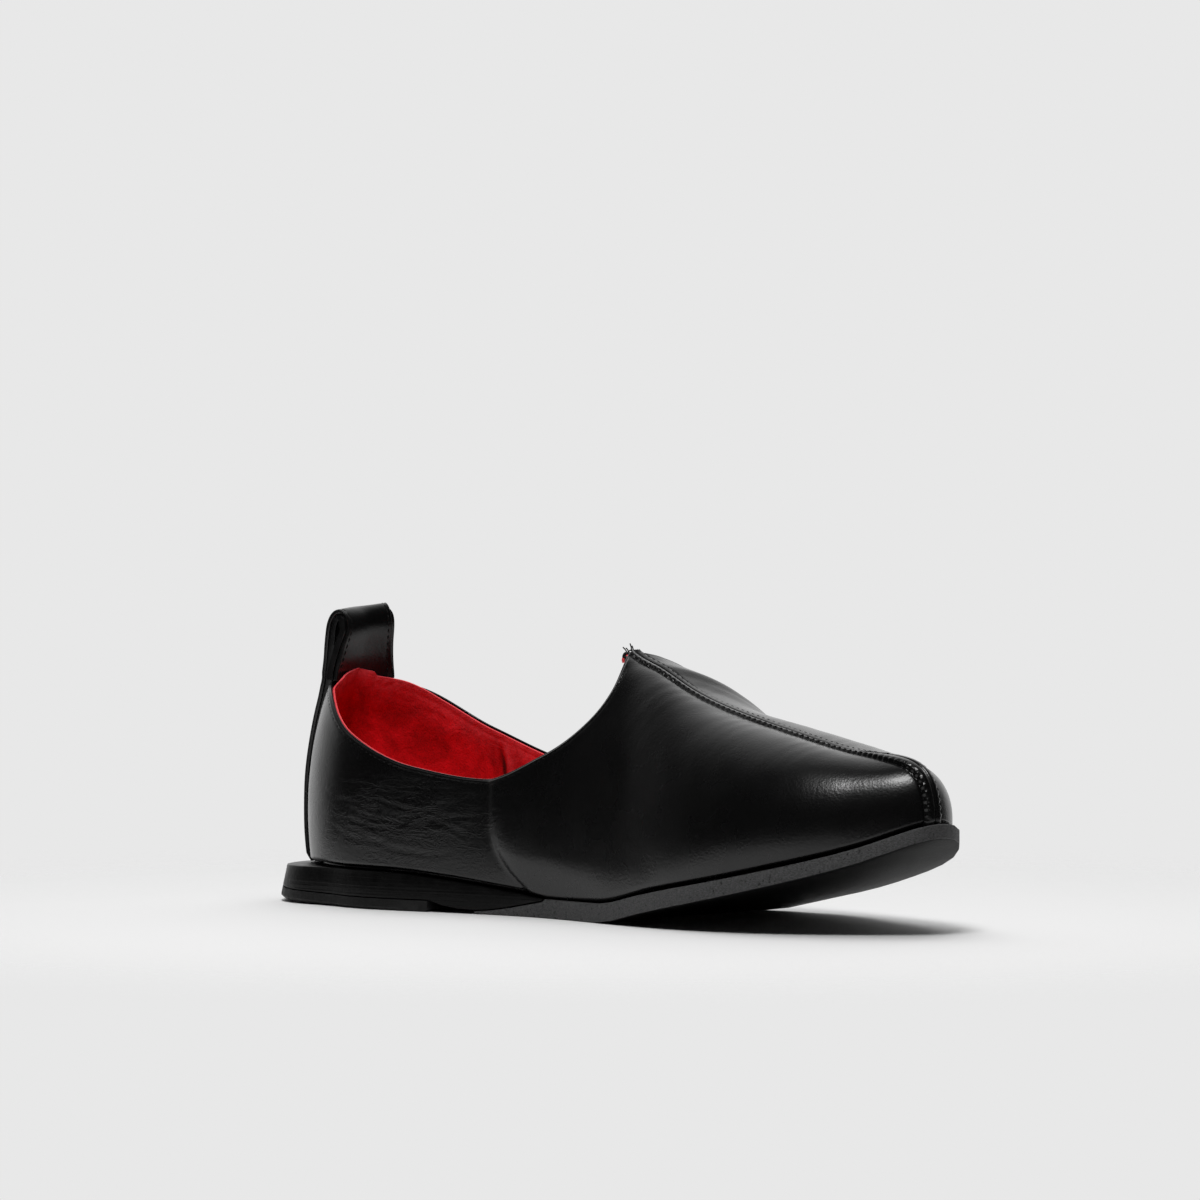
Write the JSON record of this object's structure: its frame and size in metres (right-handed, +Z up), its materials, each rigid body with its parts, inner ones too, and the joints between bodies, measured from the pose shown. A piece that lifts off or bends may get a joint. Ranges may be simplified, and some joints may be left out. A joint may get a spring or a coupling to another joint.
{
  "type": "shoe",
  "caption": "Left khussa slip-on shoe: two-piece leather upper with a centre seam and pointed throat, heel pull loop, flat outsole and low heel wedge",
  "frame": {"origin": "the middle of the bounding box, on the floor that the shoe stands on", "axes": "toe towards -Y and heel towards +Y along the shoe's length, medial side towards -X, +Z up"},
  "size_m": [0.0902, 0.2734, 0.0949],
  "materials": {
    "upper_leather": "semi-gloss",
    "strap_leather": "semi-gloss",
    "lining": "suede",
    "outsole": "matte",
    "heel_stack": "satin",
    "heel_lift": "matte"
  },
  "bodies": {
    "root": {"upper": "upper_leather", "back_strap": "strap_leather", "insole": "lining", "outsole": "outsole", "heel_wedge": "heel_stack", "heel_lift": "heel_lift"}
  },
  "joints": []
}
